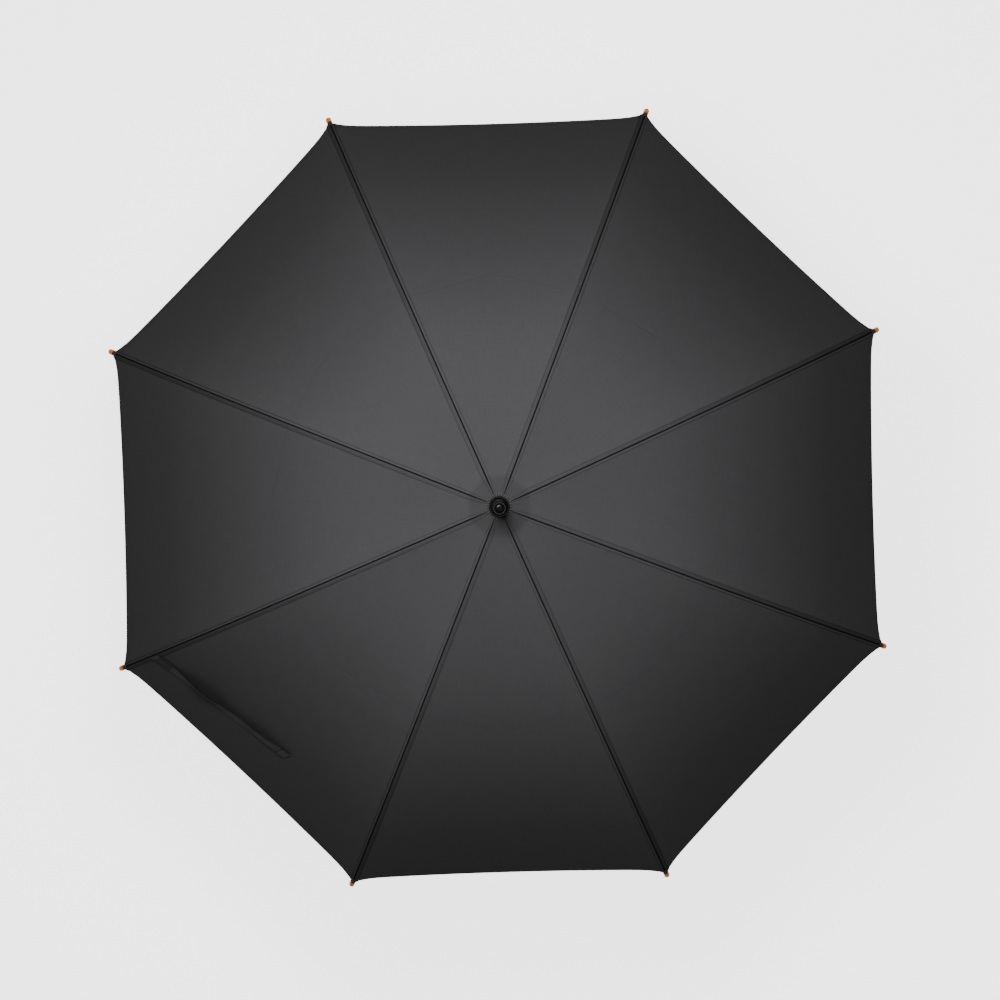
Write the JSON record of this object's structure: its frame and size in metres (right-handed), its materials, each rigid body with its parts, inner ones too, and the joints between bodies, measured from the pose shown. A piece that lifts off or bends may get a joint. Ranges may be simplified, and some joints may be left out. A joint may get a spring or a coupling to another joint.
{
  "type": "stick umbrella",
  "caption": "Open stick umbrella with a wooden crook handle and shaft, folding steel ribs and stretchers on a sliding runner, and a black cloth canopy.",
  "frame": {"origin": "on the shaft's axis, in the middle of the handle's straight grip, where a hand holds it", "axes": "+Z along the shaft towards the ferrule, +X towards the side that the crook opens to"},
  "size_m": [0.9604, 0.9604, 0.8587],
  "materials": {
    "canopy_cloth": "matt black plain-woven polyester with a faint sheen",
    "strap_web": "black folded polyester, stitched",
    "hook_and_loop": "black hook and loop tape",
    "rosette_cloth": "black woven cloth, edge pinked",
    "handle_wood": "orange-brown hardwood, satin varnish",
    "shaft_wood": "orange-brown hardwood, satin varnish",
    "tip_wood": "orange-brown turned wood, satin varnish",
    "black_gloss_metal": "gloss black enamel",
    "black_satin_metal": "satin black coat on rolled steel",
    "black_moulding": "black moulded nylon",
    "spring_steel": "bright spring steel"
  },
  "bodies": {
    "root": {"shaft": "shaft_wood", "handle": "handle_wood", "handle_collar": "black_gloss_metal", "crown": "black_moulding", "crown_wire": "spring_steel", "crown_pin": "spring_steel", "stop_pin": "spring_steel", "spring_pins": "spring_steel", "inner_rosette": "rosette_cloth", "outer_rosette": "rosette_cloth", "ferrule_cap": "black_gloss_metal", "ferrule": "black_gloss_metal"},
    "top_spring": {"top_spring": "spring_steel"},
    "bottom_spring": {"bottom_spring": "spring_steel"},
    "runner": {"runner": "black_moulding", "runner_wire": "spring_steel"},
    "rib_inner_1": {"rib_inner_1": "black_satin_metal", "canopy_panel_1": "canopy_cloth"},
    "rib_outer_1": {"rib_outer_1": "black_satin_metal", "rib_tip_1": "tip_wood"},
    "stretcher_1": {"stretcher_1": "black_satin_metal"},
    "rib_inner_2": {"rib_inner_2": "black_satin_metal", "canopy_panel_2": "canopy_cloth"},
    "rib_outer_2": {"rib_outer_2": "black_satin_metal", "rib_tip_2": "tip_wood"},
    "stretcher_2": {"stretcher_2": "black_satin_metal"},
    "rib_inner_3": {"rib_inner_3": "black_satin_metal", "canopy_panel_3": "canopy_cloth"},
    "rib_outer_3": {"rib_outer_3": "black_satin_metal", "rib_tip_3": "tip_wood"},
    "stretcher_3": {"stretcher_3": "black_satin_metal"},
    "rib_inner_4": {"rib_inner_4": "black_satin_metal", "canopy_panel_4": "canopy_cloth"},
    "rib_outer_4": {"rib_outer_4": "black_satin_metal", "rib_tip_4": "tip_wood"},
    "stretcher_4": {"stretcher_4": "black_satin_metal"},
    "rib_inner_5": {"rib_inner_5": "black_satin_metal", "canopy_panel_5": "canopy_cloth"},
    "rib_outer_5": {"rib_outer_5": "black_satin_metal", "rib_tip_5": "tip_wood", "tie_strap": "strap_web", "strap_loop_patch": "hook_and_loop", "strap_hook_patch": "hook_and_loop"},
    "stretcher_5": {"stretcher_5": "black_satin_metal"},
    "rib_inner_6": {"rib_inner_6": "black_satin_metal", "canopy_panel_6": "canopy_cloth"},
    "rib_outer_6": {"rib_outer_6": "black_satin_metal", "rib_tip_6": "tip_wood"},
    "stretcher_6": {"stretcher_6": "black_satin_metal"},
    "rib_inner_7": {"rib_inner_7": "black_satin_metal", "canopy_panel_7": "canopy_cloth"},
    "rib_outer_7": {"rib_outer_7": "black_satin_metal", "rib_tip_7": "tip_wood"},
    "stretcher_7": {"stretcher_7": "black_satin_metal"},
    "rib_inner_8": {"rib_inner_8": "black_satin_metal", "canopy_panel_8": "canopy_cloth"},
    "rib_outer_8": {"rib_outer_8": "black_satin_metal", "rib_tip_8": "tip_wood"},
    "stretcher_8": {"stretcher_8": "black_satin_metal"}
  },
  "joints": [
    {"name": "rib_fold_1", "type": "hinge", "parent": "root", "child": "rib_inner_1", "pos_m": [0.0097, 0.00402, 0.67145], "axis": [-0.3827, 0.9239, 0], "range_deg": [0, 69.04], "deforming": ["canopy_panel_1", "canopy_panel_2", "canopy_panel_3", "canopy_panel_4", "canopy_panel_5", "canopy_panel_6", "canopy_panel_7", "canopy_panel_8", "tie_strap", "strap_loop_patch", "strap_hook_patch", "top_spring", "bottom_spring"]},
    {"name": "rib_flex_1", "type": "hinge", "parent": "rib_inner_1", "child": "rib_outer_1", "pos_m": [0.24237, 0.10039, 0.57979], "axis": [-0.3827, 0.9239, 0], "range_deg": [-15.6, 0]},
    {"name": "stretcher_fold_1", "type": "hinge", "parent": "rib_inner_1", "child": "stretcher_1", "pos_m": [0.24237, 0.10039, 0.57979], "axis": [-0.3827, 0.9239, 0], "range_deg": [-138.09, 0]},
    {"name": "rib_fold_2", "type": "hinge", "parent": "root", "child": "rib_inner_2", "pos_m": [0.00402, 0.0097, 0.67145], "axis": [-0.9239, 0.3827, 0], "range_deg": [0, 69.04]},
    {"name": "rib_flex_2", "type": "hinge", "parent": "rib_inner_2", "child": "rib_outer_2", "pos_m": [0.10039, 0.24237, 0.57979], "axis": [-0.9239, 0.3827, 0], "range_deg": [-15.6, 0]},
    {"name": "stretcher_fold_2", "type": "hinge", "parent": "rib_inner_2", "child": "stretcher_2", "pos_m": [0.10039, 0.24237, 0.57979], "axis": [-0.9239, 0.3827, 0], "range_deg": [-138.09, 0]},
    {"name": "rib_fold_3", "type": "hinge", "parent": "root", "child": "rib_inner_3", "pos_m": [-0.00402, 0.0097, 0.67145], "axis": [-0.9239, -0.3827, 0], "range_deg": [0, 69.04]},
    {"name": "rib_flex_3", "type": "hinge", "parent": "rib_inner_3", "child": "rib_outer_3", "pos_m": [-0.10039, 0.24237, 0.57979], "axis": [-0.9239, -0.3827, 0], "range_deg": [-15.6, 0]},
    {"name": "stretcher_fold_3", "type": "hinge", "parent": "rib_inner_3", "child": "stretcher_3", "pos_m": [-0.10039, 0.24237, 0.57979], "axis": [-0.9239, -0.3827, 0], "range_deg": [-138.09, 0]},
    {"name": "rib_fold_4", "type": "hinge", "parent": "root", "child": "rib_inner_4", "pos_m": [-0.0097, 0.00402, 0.67145], "axis": [-0.3827, -0.9239, 0], "range_deg": [0, 69.04]},
    {"name": "rib_flex_4", "type": "hinge", "parent": "rib_inner_4", "child": "rib_outer_4", "pos_m": [-0.24237, 0.10039, 0.57979], "axis": [-0.3827, -0.9239, 0], "range_deg": [-15.6, 0]},
    {"name": "stretcher_fold_4", "type": "hinge", "parent": "rib_inner_4", "child": "stretcher_4", "pos_m": [-0.24237, 0.10039, 0.57979], "axis": [-0.3827, -0.9239, 0], "range_deg": [-138.09, 0]},
    {"name": "rib_fold_5", "type": "hinge", "parent": "root", "child": "rib_inner_5", "pos_m": [-0.0097, -0.00402, 0.67145], "axis": [0.3827, -0.9239, 0], "range_deg": [0, 69.04]},
    {"name": "rib_flex_5", "type": "hinge", "parent": "rib_inner_5", "child": "rib_outer_5", "pos_m": [-0.24237, -0.10039, 0.57979], "axis": [0.3827, -0.9239, 0], "range_deg": [-15.6, 0]},
    {"name": "stretcher_fold_5", "type": "hinge", "parent": "rib_inner_5", "child": "stretcher_5", "pos_m": [-0.24237, -0.10039, 0.57979], "axis": [0.3827, -0.9239, 0], "range_deg": [-138.09, 0]},
    {"name": "rib_fold_6", "type": "hinge", "parent": "root", "child": "rib_inner_6", "pos_m": [-0.00402, -0.0097, 0.67145], "axis": [0.9239, -0.3827, 0], "range_deg": [0, 69.04]},
    {"name": "rib_flex_6", "type": "hinge", "parent": "rib_inner_6", "child": "rib_outer_6", "pos_m": [-0.10039, -0.24237, 0.57979], "axis": [0.9239, -0.3827, 0], "range_deg": [-15.6, 0]},
    {"name": "stretcher_fold_6", "type": "hinge", "parent": "rib_inner_6", "child": "stretcher_6", "pos_m": [-0.10039, -0.24237, 0.57979], "axis": [0.9239, -0.3827, 0], "range_deg": [-138.09, 0]},
    {"name": "rib_fold_7", "type": "hinge", "parent": "root", "child": "rib_inner_7", "pos_m": [0.00402, -0.0097, 0.67145], "axis": [0.9239, 0.3827, 0], "range_deg": [0, 69.04]},
    {"name": "rib_flex_7", "type": "hinge", "parent": "rib_inner_7", "child": "rib_outer_7", "pos_m": [0.10039, -0.24237, 0.57979], "axis": [0.9239, 0.3827, 0], "range_deg": [-15.6, 0]},
    {"name": "stretcher_fold_7", "type": "hinge", "parent": "rib_inner_7", "child": "stretcher_7", "pos_m": [0.10039, -0.24237, 0.57979], "axis": [0.9239, 0.3827, 0], "range_deg": [-138.09, 0]},
    {"name": "rib_fold_8", "type": "hinge", "parent": "root", "child": "rib_inner_8", "pos_m": [0.0097, -0.00402, 0.67145], "axis": [0.3827, 0.9239, 0], "range_deg": [0, 69.04]},
    {"name": "rib_flex_8", "type": "hinge", "parent": "rib_inner_8", "child": "rib_outer_8", "pos_m": [0.24237, -0.10039, 0.57979], "axis": [0.3827, 0.9239, 0], "range_deg": [-15.6, 0]},
    {"name": "stretcher_fold_8", "type": "hinge", "parent": "rib_inner_8", "child": "stretcher_8", "pos_m": [0.24237, -0.10039, 0.57979], "axis": [0.3827, 0.9239, 0], "range_deg": [-138.09, 0]},
    {"name": "runner_slide", "type": "hinge", "parent": "stretcher_1", "child": "runner", "pos_m": [0.0097, 0.00402, 0.48813], "axis": [-0.3827, 0.9239, 0], "range_deg": [0, 69.05]},
    {"name": "top_spring_press", "type": "hinge", "parent": "root", "child": "top_spring", "pos_m": [0.001, 0, 0.39683], "axis": [0, -1, 0], "range_deg": [0, 4.51], "stiffness_Nm_per_rad": 1, "springref_deg": -1.15},
    {"name": "bottom_spring_press", "type": "hinge", "parent": "root", "child": "bottom_spring", "pos_m": [0.001, 0, 0.13743], "axis": [0, 1, 0], "range_deg": [0, 4.51], "stiffness_Nm_per_rad": 1, "springref_deg": -1.15}
  ],
  "couplings": [
    {"joint": "rib_flex_1", "follows": "rib_fold_1", "ratio": -0.22583},
    {"joint": "stretcher_fold_1", "follows": "rib_fold_1", "ratio": -2},
    {"joint": "rib_fold_2", "follows": "rib_fold_1", "ratio": 1},
    {"joint": "rib_flex_2", "follows": "rib_fold_1", "ratio": -0.22583},
    {"joint": "stretcher_fold_2", "follows": "rib_fold_1", "ratio": -2},
    {"joint": "rib_fold_3", "follows": "rib_fold_1", "ratio": 1},
    {"joint": "rib_flex_3", "follows": "rib_fold_1", "ratio": -0.22583},
    {"joint": "stretcher_fold_3", "follows": "rib_fold_1", "ratio": -2},
    {"joint": "rib_fold_4", "follows": "rib_fold_1", "ratio": 1},
    {"joint": "rib_flex_4", "follows": "rib_fold_1", "ratio": -0.22583},
    {"joint": "stretcher_fold_4", "follows": "rib_fold_1", "ratio": -2},
    {"joint": "rib_fold_5", "follows": "rib_fold_1", "ratio": 1},
    {"joint": "rib_flex_5", "follows": "rib_fold_1", "ratio": -0.22583},
    {"joint": "stretcher_fold_5", "follows": "rib_fold_1", "ratio": -2},
    {"joint": "rib_fold_6", "follows": "rib_fold_1", "ratio": 1},
    {"joint": "rib_flex_6", "follows": "rib_fold_1", "ratio": -0.22583},
    {"joint": "stretcher_fold_6", "follows": "rib_fold_1", "ratio": -2},
    {"joint": "rib_fold_7", "follows": "rib_fold_1", "ratio": 1},
    {"joint": "rib_flex_7", "follows": "rib_fold_1", "ratio": -0.22583},
    {"joint": "stretcher_fold_7", "follows": "rib_fold_1", "ratio": -2},
    {"joint": "rib_fold_8", "follows": "rib_fold_1", "ratio": 1},
    {"joint": "rib_flex_8", "follows": "rib_fold_1", "ratio": -0.22583},
    {"joint": "stretcher_fold_8", "follows": "rib_fold_1", "ratio": -2},
    {"joint": "runner_slide", "follows": "rib_fold_1", "ratio": 1}
  ]
}
